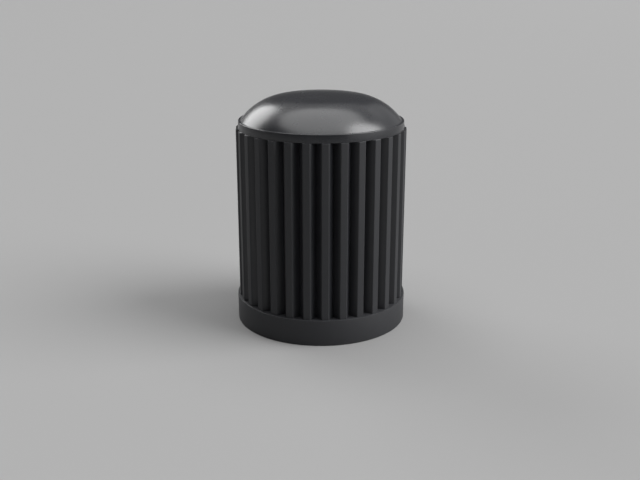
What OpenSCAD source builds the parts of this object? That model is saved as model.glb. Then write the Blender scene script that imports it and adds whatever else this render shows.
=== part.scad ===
// Tyre valve cap, moulded in one piece: a plain collar round the mouth, a straight grip of fine ribs,
// a narrow shoulder band and a domed top, with a stepped blind bore for the valve. It stands on its
// mouth, with the bore's axis on Z and the underside at Z = 0. All sizes are in millimetres.

/* [Bore] */
// Inside diameter of the bore, across the crests of the valve thread
bore_d = 6.95; // [6.4:0.05:7.6]
// How far the plain skirt at the mouth stands back from the bore wall
skirt_step = 0.62; // [0.3:0.02:0.8]
// Height of the plain skirt, from the mouth to the start of its lead-in cone
skirt_h = 1.2; // [0.5:0.1:2]
// Width and height of the chamfer round the mouth
mouth_chamfer = 0.25; // [0.05:0.05:0.3]
// Height of the conical seat that closes on the rim of the valve
seat_h = 0.6; // [0.2:0.1:1.2]
// Diameter of the pocket that clears the pin of the valve core
pocket_d = 4.8; // [3:0.1:5.6]
// Height of that pocket, above the seat
pocket_h = 2; // [1:0.1:3]
// Width and height of the chamfer round the closed end of the pocket
pocket_chamfer = 0.5; // [0.1:0.1:0.8]
// Thickness of the crown over the pocket
crown_t = 1.5; // [1:0.1:2]

/* [Grip] */
// Thickness of the wall between the bore and the roots of the grooves
wall_t = 0.95; // [0.8:0.05:1.6]
// Number of ribs round the grip
rib_count = 30; // [16:1:32]
// Height of the grip, from the collar to the shoulder band
grip_h = 9.95; // [8:0.05:14]
// Depth of each groove, from the faces of the ribs
groove_depth = 0.45; // [0.2:0.05:0.6]
// Width of each groove across its open side
groove_w = 0.64; // [0.3:0.02:0.72]
// Radius of the rounding along the edges of the ribs
rib_edge_r = 0.1; // [0.05:0.01:0.25]
// Width and height of the chamfer on the top ends of the ribs
rib_end_chamfer = 0.05; // [0.02:0.01:0.08]

/* [Collar] */
// Height of the collar
collar_h = 1.5; // [1:0.1:3]
// How far the collar stands out from the faces of the ribs
collar_step = 0.13; // [0.05:0.01:0.4]

/* [Shoulder band] */
// Height of the band
band_h = 0.45; // [0.2:0.05:1.5]
// How far the band stands back from the faces of the ribs
band_step = 0.11; // [0.04:0.01:0.3]
// How much less the radius of the band is at its top than at its foot
band_taper = 0.03; // [0.01:0.01:0.1]

/* [Dome] */
// How far the foot of the dome stands back from the edge of the band
dome_step = 0.135; // [0.05:0.005:0.4]
// Height of the dome
dome_h = 1.5; // [1.2:0.05:2.4]
// Radius of the shallow curve across the top of the dome
dome_crown_r = 16.8; // [14:0.2:24]
// Radius of the tighter curve round the side of the dome
dome_side_r = 3.43; // [2.8:0.01:4]

/* [Hidden] */
$fn = 180;

// How far each cutting shape runs past the face that it opens
over = 0.5;
// How far an arc passes the line that it runs into, a hair, so that the two cross
arc_lap = 0.001;
// Number of straight steps in the rounding of a rib's edge
edge_steps = 3;

// Radii, from the bore outwards
bore_r = bore_d / 2;
skirt_r = bore_r + skirt_step;
pocket_r = pocket_d / 2;
root_r = bore_r + wall_t;
rib_r = root_r + groove_depth;
collar_r = rib_r + collar_step;
band_r = rib_r - band_step;
band_top_r = band_r - band_taper;
dome_r = band_top_r - dome_step;

// Heights, from the mouth upwards
grip_top = collar_h + grip_h;
dome_foot = grip_top + band_h;
cap_h = dome_foot + dome_h;

// Heights inside, from the crown downwards
pocket_top = cap_h - crown_t;
seat_top = pocket_top - pocket_h;
bore_top = seat_top - seat_h;
bore_foot = skirt_h + skirt_step;

// The dome's section is two arcs. The crown's arc has its centre on the axis. The side's arc passes
// through the foot of the dome and runs into the crown's.
crown_c = [0, cap_h - dome_crown_r];
foot = [dome_r, dome_foot];
reach = dome_crown_r - dome_side_r + arc_lap;
span = norm(foot - crown_c);
along = (foot - crown_c) / span;
near = (reach * reach - dome_side_r * dome_side_r + span * span) / (2 * span);
off = sqrt(reach * reach - near * near);
side_c = crown_c + near * along + off * [-along.y, along.x];
meet_r = side_c.x * dome_crown_r / reach;

// Half of the dome's section
module dome_section() {
    intersection() {
        translate(crown_c) circle(r = dome_crown_r, $fn = 720);
        union() {
            translate(side_c) circle(r = dome_side_r);
            square([meet_r, cap_h + over]);
        }
        translate([0, dome_foot]) square([band_top_r, dome_h + over]);
    }
}

// The turned shape of the outside, with the grip still plain
module outside() {
    end_chamfer = min(rib_end_chamfer, band_step / 2);
    rotate_extrude() {
        polygon([
            [0, 0],
            [collar_r, 0],
            [collar_r, collar_h],
            [rib_r, collar_h],
            [rib_r, grip_top - end_chamfer],
            [rib_r - end_chamfer, grip_top],
            [band_r, grip_top],
            [band_top_r, dome_foot],
            [0, dome_foot]
        ]);
        dome_section();
    }
}

// The space inside: skirt, lead-in cone, bore, conical seat and pocket
module inside() {
    rotate_extrude()
        polygon([
            [0, -over],
            [skirt_r + mouth_chamfer + over, -over],
            [skirt_r, mouth_chamfer],
            [skirt_r, skirt_h],
            [bore_r, bore_foot],
            [bore_r, bore_top],
            [pocket_r, seat_top],
            [pocket_r, pocket_top - pocket_chamfer],
            [pocket_r - pocket_chamfer, pocket_top],
            [0, pocket_top]
        ]);
}

// The section of one groove, cut on the +X side: straight flanks that meet at the root. Each flank is
// rounded over into the face of its rib, by an arc whose centre lies inside the rib.
module groove_section() {
    flank = atan(groove_w / 2 / groove_depth);
    outward = [cos(flank), sin(flank)];
    into_rib = [-outward.y, outward.x];
    start = [root_r, 0] + rib_edge_r * into_rib;
    centre_r = rib_r - rib_edge_r + arc_lap;
    rise = start * outward;
    centre = start + (sqrt(rise * rise - start * start + centre_r * centre_r) - rise) * outward;
    first = flank - 90;
    turn = (atan2(centre.y, centre.x) - first) / edge_steps;
    edge = [for (k = [0 : edge_steps]) centre + rib_edge_r * [cos(first + k * turn), sin(first + k * turn)]];
    half = concat(edge, [edge[edge_steps] * (rib_r + over) / norm(edge[edge_steps])]);
    other = [for (k = [len(half) - 1 : -1 : 0]) [half[k].x, -half[k].y]];
    polygon(concat([[root_r, 0]], half, other));
}

// All the grooves of the grip, from the collar's ledge to the shoulder band
module grooves() {
    pitch = 360 / rib_count;
    translate([0, 0, collar_h])
        linear_extrude(grip_h)
            for (i = [0 : rib_count - 1]) rotate((i + 0.5) * pitch) groove_section();
}

// The whole cap, with a rib centred on +X
module cap() {
    color([0.12, 0.12, 0.13])
        difference() {
            outside();
            inside();
            grooves();
        }
}

cap();
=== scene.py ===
import math

import bmesh
import bpy
from mathutils import Matrix, Vector


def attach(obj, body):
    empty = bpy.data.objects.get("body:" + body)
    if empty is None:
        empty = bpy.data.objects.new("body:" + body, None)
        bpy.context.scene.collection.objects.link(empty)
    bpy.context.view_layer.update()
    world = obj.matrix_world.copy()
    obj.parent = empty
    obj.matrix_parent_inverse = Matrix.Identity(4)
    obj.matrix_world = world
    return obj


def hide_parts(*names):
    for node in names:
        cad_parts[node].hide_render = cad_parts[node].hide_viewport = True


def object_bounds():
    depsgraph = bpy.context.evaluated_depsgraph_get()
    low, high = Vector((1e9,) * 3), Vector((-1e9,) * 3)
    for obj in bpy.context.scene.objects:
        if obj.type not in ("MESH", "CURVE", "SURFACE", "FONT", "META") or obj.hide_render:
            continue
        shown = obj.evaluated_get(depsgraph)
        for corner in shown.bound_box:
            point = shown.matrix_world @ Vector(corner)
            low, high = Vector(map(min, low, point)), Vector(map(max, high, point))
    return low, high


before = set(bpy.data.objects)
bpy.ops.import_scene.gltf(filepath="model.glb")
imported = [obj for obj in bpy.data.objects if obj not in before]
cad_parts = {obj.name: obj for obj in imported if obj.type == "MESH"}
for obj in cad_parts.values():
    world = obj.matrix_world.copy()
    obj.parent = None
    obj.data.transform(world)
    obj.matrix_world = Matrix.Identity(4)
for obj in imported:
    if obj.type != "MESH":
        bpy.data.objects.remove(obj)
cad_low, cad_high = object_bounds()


# The grip
# Thirty straight ribs round the cap, which fingers turn it by. They are part of the one moulding and
# draw out of the tool along the axis, so their section is the same from the collar to the band.
MM = 0.001
WELD = 0.0004 * MM
RIBS = 30
PITCH = 2 * math.pi / RIBS
rib_r = 4.875 * MM
root_r = 4.425 * MM
groove_w = 0.64 * MM
rib_rounding = 0.05 * MM
rib_top_rounding = 0.012 * MM
grip_foot = 1.5 * MM
grip_top = 11.45 * MM
band_foot_r = 4.765 * MM
ROUNDING_STEPS = 4
bm = bmesh.new()


def rounded(corners, steps=ROUNDING_STEPS):
    """The outline through the corners, each (x, y) or (x, y, radius of its rounding)."""
    points = []
    for i, corner in enumerate(corners):
        here = Vector(corner[:2])
        if len(corner) == 2 or i in (0, len(corners) - 1):
            points.append(here)
            continue
        before = (Vector(corners[i - 1][:2]) - here).normalized()
        after = (Vector(corners[i + 1][:2]) - here).normalized()
        half = before.angle(after) / 2
        middle = here + (before + after).normalized() * corner[2] / math.sin(half)
        start = here + before * corner[2] / math.tan(half) - middle
        end = here + after * corner[2] / math.tan(half) - middle
        turn = start.angle_signed(end)
        for k in range(steps + 1):
            points.append(middle + Matrix.Rotation(-turn * k / steps, 2) @ start)
    return points


def chain(points):
    """Vertices at the points, joined one to the next by edges."""
    verts = [bm.verts.new(p) for p in points]
    return verts + [bm.edges.new(pair) for pair in zip(verts, verts[1:])]


def in_groove(radius, half_width):
    """A point of the groove's flank, in the frame of the rib beside it."""
    return Matrix.Rotation(PITCH / 2, 2) @ Vector((radius, -half_width))


# Where the flank passes under the edge of the band, it has a corner of its own. Each pass comes closer
# to the place where the two meet.
slope = groove_w / 2 / (rib_r - root_r)
under_band = band_foot_r
passes = 8
for _ in range(passes):
    under_band = math.sqrt(band_foot_r ** 2 - (slope * (under_band - root_r)) ** 2)
half_rib = rounded([
    (rib_r, 0),
    (*in_groove(rib_r, groove_w / 2), rib_rounding),
    (*in_groove(under_band, slope * (under_band - root_r)),),
    (*in_groove(root_r, 0),),
], steps=5)
one_rib = [Vector((p.x, -p.y)) for p in reversed(half_rib[1:])] + half_rib
bmesh.ops.spin(
    bm, geom=chain([(p.x, p.y, grip_foot) for p in one_rib]), cent=(0, 0, 0), axis=(0, 0, 1),
    angle=2 * math.pi, steps=RIBS, use_duplicate=True)
bmesh.ops.remove_doubles(bm, verts=bm.verts, dist=WELD)
grip_loop = list(bm.edges)


def lift(loop, height, reach):
    """Draws the loop on to a height. Each point keeps its angle and takes the radius from reach."""
    made = bmesh.ops.extrude_edge_only(bm, edges=loop)["geom"]
    for v in (g for g in made if isinstance(g, bmesh.types.BMVert)):
        radius = v.co.xy.length
        v.co.xy *= reach(radius) / radius
        v.co.z = height
    return [g for g in made if isinstance(g, bmesh.types.BMEdge) and g.is_boundary]


ring = lift(grip_loop, grip_top - rib_top_rounding, lambda r: r)
for k in range(1, ROUNDING_STEPS + 1):
    turn = math.pi / 2 * k / ROUNDING_STEPS
    limit = rib_r - rib_top_rounding * (1 - math.cos(turn))
    height = grip_top - rib_top_rounding * (1 - math.sin(turn))
    ring = lift(ring, height, lambda r: min(r, limit))


# The shoulder band and the dome
# A narrow plain band closes the tops of the grooves, and the crown over it is turned from two arcs
# that run into each other. A small ledge parts them, where the two halves of the tool meet.
band_top_r = 4.735 * MM
band_top = 11.9 * MM
band_rounding = 0.03 * MM
dome_foot_r = 4.6 * MM
cap_h = cad_high.z
crown_r = 16.8 * MM
side_r = 3.43 * MM
CROWN_STEPS = 10
SIDE_STEPS = 20
LATHE_STEPS = 240


def lathe(points):
    """Turns an outline of (radius, height) points. Gives back its first and last rim."""
    start = Matrix.Translation((0, 0, points[0][1]))
    made = bmesh.ops.create_circle(bm, segments=LATHE_STEPS, radius=points[0][0], matrix=start)["verts"]
    first = ring = list({e for v in made for e in v.link_edges})
    for radius, height in points[1:]:
        ring = lift(ring, height, lambda r: radius)
    return first, ring


def fill_between(*loops):
    """Closes the flat ring between two loops that lie at one height."""
    edges = [e for loop in loops for e in loop]
    bmesh.ops.triangle_fill(bm, use_beauty=True, use_dissolve=False, edges=edges, normal=(0, 0, 1))


ring = lift(ring, grip_top, lambda r: band_foot_r)
for p in rounded([
    (band_foot_r, grip_top),
    (band_top_r, band_top, band_rounding),
    (dome_foot_r, band_top),
])[1:-1]:
    ring = lift(ring, p[1], lambda r: p[0])

# The side arc passes through the dome's foot and touches the crown's arc from inside
crown_c = Vector((0, cap_h - crown_r))
foot = Vector((dome_foot_r, band_top))
along = foot - crown_c
near = ((crown_r - side_r) ** 2 - side_r ** 2 + along.length_squared) / (2 * along.length)
off = math.sqrt((crown_r - side_r) ** 2 - near ** 2)
along.normalize()
side_c = crown_c + along * near + Vector((-along.y, along.x)) * off
meet = (side_c - crown_c).normalized()


def arc(centre, radius, start, end, steps):
    """Points on an arc, from the direction start to the direction end."""
    turn = start.angle_signed(end)
    return [centre + Matrix.Rotation(-turn * k / steps, 2) @ start.normalized() * radius
            for k in range(steps + 1)]


side_arc = arc(side_c, side_r, foot - side_c, meet, SIDE_STEPS)
crown_arc = arc(crown_c, crown_r, meet, Vector((0, 1)), CROWN_STEPS)
dome_rim, _ = lathe(side_arc + crown_arc[1:])
fill_between(ring, dome_rim)


# The collar and the skirt
# A plain rim round the mouth stiffens it and hides the end of the thread. Inside it a short skirt
# clears the valve and leads it in, and the edge of the mouth is eased with a small chamfer.
collar_r = min(cad_high.x, -cad_low.x, cad_high.y, -cad_low.y)
ledge_rounding = 0.008 * MM
mouth_rounding = 0.035 * MM
mouth_r = 4.345 * MM
skirt_r = 4.095 * MM
skirt_top = 1.2 * MM
mouth_chamfer = 0.25 * MM
bore_r = 3.475 * MM
lead_in = skirt_r + skirt_top
thread_foot = 1.3 * MM

ledge_rim, lead_rim = lathe(rounded([
    (collar_r - 2 * ledge_rounding, grip_foot),
    (collar_r, grip_foot, ledge_rounding),
    (collar_r, 0, mouth_rounding),
    (mouth_r, 0, mouth_rounding),
    (skirt_r, mouth_chamfer, mouth_rounding),
    (skirt_r, skirt_top, mouth_rounding),
    (lead_in - thread_foot, thread_foot),
]))
fill_between(grip_loop, ledge_rim)


# The valve thread
# An internal right-hand thread for the standard car valve, 7.75 mm across, moulded on a core that is
# screwed out. Its first turns open into the lead-in cone, and its last run out short of the seat.
THREAD_PITCH = 0.794 * MM
TURN_STEPS = 120
thread_root_r = 3.905 * MM
thread_top = 8.7 * MM
run_out_slope = 0.6
clear_of_cone = 0.03 * MM
crest_w = THREAD_PITCH / 4
root_flat = THREAD_PITCH / 8
flank_w = (THREAD_PITCH - crest_w - root_flat) / 2
crest_rounding = 0.05 * MM

cap_bm, bm = bm, bmesh.new()
first = thread_foot - 2 * THREAD_PITCH
tooth = rounded([
    (bore_r, first),
    (bore_r, first + crest_w / 2, crest_rounding),
    (thread_root_r, first + crest_w / 2 + flank_w, crest_rounding),
    (thread_root_r, first + crest_w / 2 + flank_w + root_flat, crest_rounding),
    (bore_r, first + THREAD_PITCH - crest_w / 2, crest_rounding),
    (bore_r, first + THREAD_PITCH),
], steps=2)
bmesh.ops.spin(
    bm, geom=chain([(p.x, 0, p.y) for p in tooth]), cent=(0, 0, 0), axis=(0, 0, 1),
    dvec=(0, 0, THREAD_PITCH / TURN_STEPS), angle=2 * math.pi, steps=TURN_STEPS)
one_turn = list(bm.verts) + list(bm.edges) + list(bm.faces)
turns = math.ceil((thread_top - first) / THREAD_PITCH) + 2
for k in range(1, turns):
    copy = bmesh.ops.duplicate(bm, geom=one_turn)["geom"]
    moved = [g for g in copy if isinstance(g, bmesh.types.BMVert)]
    bmesh.ops.translate(bm, verts=moved, vec=(0, 0, k * THREAD_PITCH))
bmesh.ops.remove_doubles(bm, verts=bm.verts, dist=WELD)
for height, outward in ((thread_foot, -1), (thread_top, 1)):
    bmesh.ops.bisect_plane(
        bm, geom=list(bm.verts) + list(bm.edges) + list(bm.faces), dist=WELD,
        plane_co=(0, 0, height), plane_no=(0, 0, outward), clear_outer=True)
for v in bm.verts:
    run_out = bore_r + max(thread_top - v.co.z, 0) * run_out_slope
    radius = max(min(v.co.xy.length, run_out), lead_in - v.co.z - clear_of_cone)
    v.co.xy *= radius / v.co.xy.length
bmesh.ops.remove_doubles(bm, verts=bm.verts, dist=WELD)
thread = bpy.data.meshes.new("thread")
bm.to_mesh(thread)
bm.free()
bm = cap_bm
others = set(bm.edges)
bm.from_mesh(thread)
bpy.data.meshes.remove(thread)
thread_edges = [e for e in bm.edges if e.is_boundary and e not in others]
foot_rim, top_rim = [
    [e for e in thread_edges if all(abs(v.co.z - height) < WELD for v in e.verts)]
    for height in (thread_foot, thread_top)]
fill_between(lead_rim, foot_rim)


# The seat and the pocket
# Above the thread the bore closes on a cone, which seals on the rim of the valve. A blind pocket over
# it clears the pin of the valve core.
bore_top = 9.3 * MM
seat_top = 9.9 * MM
pocket_r = 2.4 * MM
pocket_top = 11.9 * MM
pocket_chamfer = 0.5 * MM
bore_rounding = 0.06 * MM
thread_relief = 0.05 * MM
SHARP_DEGREES = 32

bore_rim, _ = lathe(rounded([
    (bore_r, thread_top + thread_relief),
    (bore_r, bore_top, bore_rounding),
    (pocket_r, seat_top, bore_rounding),
    (pocket_r, pocket_top - pocket_chamfer, bore_rounding),
    (pocket_r - pocket_chamfer, pocket_top, bore_rounding),
    (0, pocket_top),
]))
bmesh.ops.bridge_loops(bm, edges=top_rim + bore_rim)

bmesh.ops.remove_doubles(bm, verts=bm.verts, dist=WELD)
bmesh.ops.recalc_face_normals(bm, faces=bm.faces)
mesh = bpy.data.meshes.new("valve_cap")
bm.to_mesh(mesh)
bm.free()
mesh.shade_smooth()
mesh.set_sharp_from_angle(angle=math.radians(SHARP_DEGREES))
cap = bpy.data.objects.new("valve_cap", mesh)
bpy.context.scene.collection.objects.link(cap)


# The moulded finish
# Black ABS, injection-moulded in a finely spark-eroded tool: a semi-gloss dome and duller sides, with a
# very fine even grain, a soft unevenness where the skin froze, and slight patches of duller skin.
GRAIN = 0.09 * MM
GRAIN_HEIGHT = 0.0008 * MM
SKIN = 1.6 * MM
SKIN_HEIGHT = 0.0015 * MM
PATCH = 2.5 * MM
DOME_ROUGHNESS = (0.24, 0.29)
SIDES_DULLER = 0.38
GROOVES_GLOSSIER = 0.2
GROOVE_BLEND = 0.12 * MM
SKIN_IOR = 1.58
plastic = bpy.data.materials.new("moulded_black_abs")
plastic.use_nodes = True
tree = plastic.node_tree
shader = tree.nodes["Principled BSDF"]


def hex_colour(text):
    """An sRGB hex colour as linear RGBA."""
    parts = [int(text[i:i + 2], 16) / 255 for i in (0, 2, 4)]
    return [c / 12.92 if c <= 0.04045 else ((c + 0.055) / 1.055) ** 2.4 for c in parts] + [1]


def add(tree, kind, settings=(), **inputs):
    """Adds a node. settings are its properties, and each input is a value or a socket to link."""
    node = tree.nodes.new(kind)
    for name, value in dict(settings).items():
        setattr(node, name, value)
    for name, value in inputs.items():
        index = int(name[1:]) if name[0] == "n" and name[1:].isdigit() else name.replace("_", " ")
        if isinstance(value, bpy.types.NodeSocket):
            tree.links.new(value, node.inputs[index])
        else:
            node.inputs[index].default_value = value
    return node


place = add(tree, "ShaderNodeTexCoord").outputs["Object"]
grain = add(tree, "ShaderNodeTexNoise", Vector=place, Scale=1 / GRAIN, Detail=2, Roughness=0.5)
skin = add(tree, "ShaderNodeTexNoise", Vector=place, Scale=1 / SKIN, Detail=1, Roughness=0.4)
patches = add(tree, "ShaderNodeTexNoise", Vector=place, Scale=1 / PATCH, Detail=3, Roughness=0.6)
skin_bump = add(
    tree, "ShaderNodeBump", Strength=1, Distance=SKIN_HEIGHT, Height=skin.outputs["Fac"])
grain_bump = add(
    tree, "ShaderNodeBump", Strength=1, Distance=GRAIN_HEIGHT, Height=grain.outputs["Fac"],
    Normal=skin_bump.outputs["Normal"])
colour = add(
    tree, "ShaderNodeMix", {"data_type": "RGBA"}, Factor=patches.outputs["Fac"],
    n6=hex_colour("18191D"), n7=hex_colour("1E1F23"))
tree.links.new(colour.outputs[2], shader.inputs["Base Color"])
tree.links.new(grain_bump.outputs["Normal"], shader.inputs["Normal"])
roughness = add(
    tree, "ShaderNodeMapRange", Value=patches.outputs["Fac"], From_Min=0.3, From_Max=0.7,
    To_Min=DOME_ROUGHNESS[0], To_Max=DOME_ROUGHNESS[1])

# The tool is finer over the dome and the band than round the sides below them
up = add(tree, "ShaderNodeSeparateXYZ", Vector=place)
on_side = add(tree, "ShaderNodeMath", {"operation": "LESS_THAN"}, n0=up.outputs["Z"], n1=grip_top)
eroded = add(
    tree, "ShaderNodeMath", {"operation": "MULTIPLY_ADD"},
    n0=on_side.outputs["Value"], n1=SIDES_DULLER, n2=roughness.outputs["Result"])

# Handling dulls the faces of the ribs, and the grooves between them and the bore stay glossier
outward = add(tree, "ShaderNodeVectorMath", {"operation": "MULTIPLY"}, n0=place, n1=(1, 1, 0))
from_axis = add(tree, "ShaderNodeVectorMath", {"operation": "LENGTH"}, n0=outward.outputs["Vector"])
in_grip = add(
    tree, "ShaderNodeMath", {"operation": "COMPARE"},
    n0=up.outputs["Z"], n1=(grip_foot + grip_top) / 2, n2=(grip_top - grip_foot) / 2)
deep = add(
    tree, "ShaderNodeMapRange", Value=from_axis.outputs["Value"],
    From_Min=rib_r, From_Max=rib_r - GROOVE_BLEND, To_Min=0, To_Max=-GROOVES_GLOSSIER)
groove = add(
    tree, "ShaderNodeMath", {"operation": "MULTIPLY"},
    n0=in_grip.outputs["Value"], n1=deep.outputs["Result"])
handled = add(
    tree, "ShaderNodeMath", {"operation": "ADD"},
    n0=eroded.outputs["Value"], n1=groove.outputs["Value"])
tree.links.new(handled.outputs["Value"], shader.inputs["Roughness"])

# A little above the 1.54 of plain ABS, for the sheen of the moulded skin
shader.inputs["IOR"].default_value = SKIN_IOR
cap.data.materials.append(plastic)
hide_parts("cap")
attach(cap, "root")


# The studio
# A plain grey floor under soft boxes: a broad one overhead, the main one at the right, a low one behind
# at the left, and three dim ones that fill in the right, the back and the right front. They hang 3 m
# away, so that the floor is lit evenly as far as the camera sees. Each angle is in degrees.
CAMERA_TURN = 3.3
FLOOR_HALF = 4.0
LAMP_FAR = 3.0
floor_mesh = bpy.data.meshes.new("floor")
bm = bmesh.new()
bmesh.ops.create_grid(bm, x_segments=1, y_segments=1, size=FLOOR_HALF)
bm.to_mesh(floor_mesh)
bm.free()
floor = bpy.data.objects.new("floor", floor_mesh)
bpy.context.scene.collection.objects.link(floor)
paper = bpy.data.materials.new("matt_grey_paper")
paper.use_nodes = True
matt = paper.node_tree.nodes["Principled BSDF"]
matt.inputs["Base Color"].default_value = hex_colour("868686")
matt.inputs["Roughness"].default_value = 1
matt.inputs["Specular IOR Level"].default_value = 0
floor.data.materials.append(paper)


def soft_box(name, turn, rise, wide, tall, brightness):
    """A lamp seen from the cap at turn degrees round from the camera and rise degrees up. It is wide
    by tall degrees across, and a brightness of 1 is white."""
    lamp = bpy.data.lights.new(name, "AREA")
    lamp.shape = "ELLIPSE"
    lamp.size = 2 * LAMP_FAR * math.tan(math.radians(wide / 2))
    lamp.size_y = 2 * LAMP_FAR * math.tan(math.radians(tall / 2))
    lamp.energy = brightness * math.pi * (math.pi * lamp.size * lamp.size_y / 4)
    holder = bpy.data.objects.new(name, lamp)
    bpy.context.scene.collection.objects.link(holder)
    holder.rotation_euler = (math.radians(90 - rise), 0, math.radians(turn + CAMERA_TURN))
    holder.location = holder.rotation_euler.to_matrix() @ Vector((0, 0, LAMP_FAR))


soft_box("overhead_box", turn=180, rise=87, wide=68, tall=66, brightness=2.65)
soft_box("main_box", turn=80, rise=38, wide=44, tall=48, brightness=7.6)
soft_box("low_back_box", turn=-138, rise=28, wide=38, tall=34, brightness=4.7)
soft_box("right_back_box", turn=125, rise=24, wide=70, tall=46, brightness=0.35)
soft_box("back_box", turn=180, rise=44, wide=80, tall=16, brightness=0.4)
soft_box("low_front_box", turn=78, rise=9, wide=84, tall=18, brightness=0.95)

# At the horizon the room is as pale as the floor looks, and it dims just above
PALE_UP_TO = 0.02
DIM_FROM = 0.07
world = bpy.data.worlds.new("dim_grey_room")
world.use_nodes = True
room = world.node_tree
direction = add(room, "ShaderNodeTexCoord").outputs["Generated"]
above = add(room, "ShaderNodeSeparateXYZ", Vector=direction)
dim = add(
    room, "ShaderNodeMapRange", {"interpolation_type": "SMOOTHSTEP"}, Value=above.outputs["Z"],
    From_Min=PALE_UP_TO, From_Max=DIM_FROM)
walls = add(
    room, "ShaderNodeMix", {"data_type": "RGBA"}, Factor=dim.outputs["Result"],
    n6=hex_colour("B1B1B1"), n7=hex_colour("565656"))
room.links.new(walls.outputs[2], room.nodes["Background"].inputs["Color"])
bpy.context.scene.world = world
bpy.context.scene.view_settings.view_transform = "Standard"


# The camera
# It looks down at the standing cap from close by, through a 50 mm lens. Turn and tilt are in degrees.
CAMERA_FAR = 50.49 * MM
CAMERA_UP = 20.87 * MM
CAMERA_LEFT = 0.062 * MM
CAMERA_TILT = 17.836
lens = bpy.data.cameras.new("camera")
lens.lens = 50
lens.sensor_width = 36
lens.clip_start = 1 * MM
lens.clip_end = 20
camera = bpy.data.objects.new("camera", lens)
bpy.context.scene.collection.objects.link(camera)
camera.rotation_euler = (math.radians(90 - CAMERA_TILT), 0, math.radians(CAMERA_TURN))
stand = Vector((-CAMERA_LEFT, -CAMERA_FAR, CAMERA_UP))
camera.location = Matrix.Rotation(math.radians(CAMERA_TURN), 3, "Z") @ stand
bpy.context.scene.camera = camera
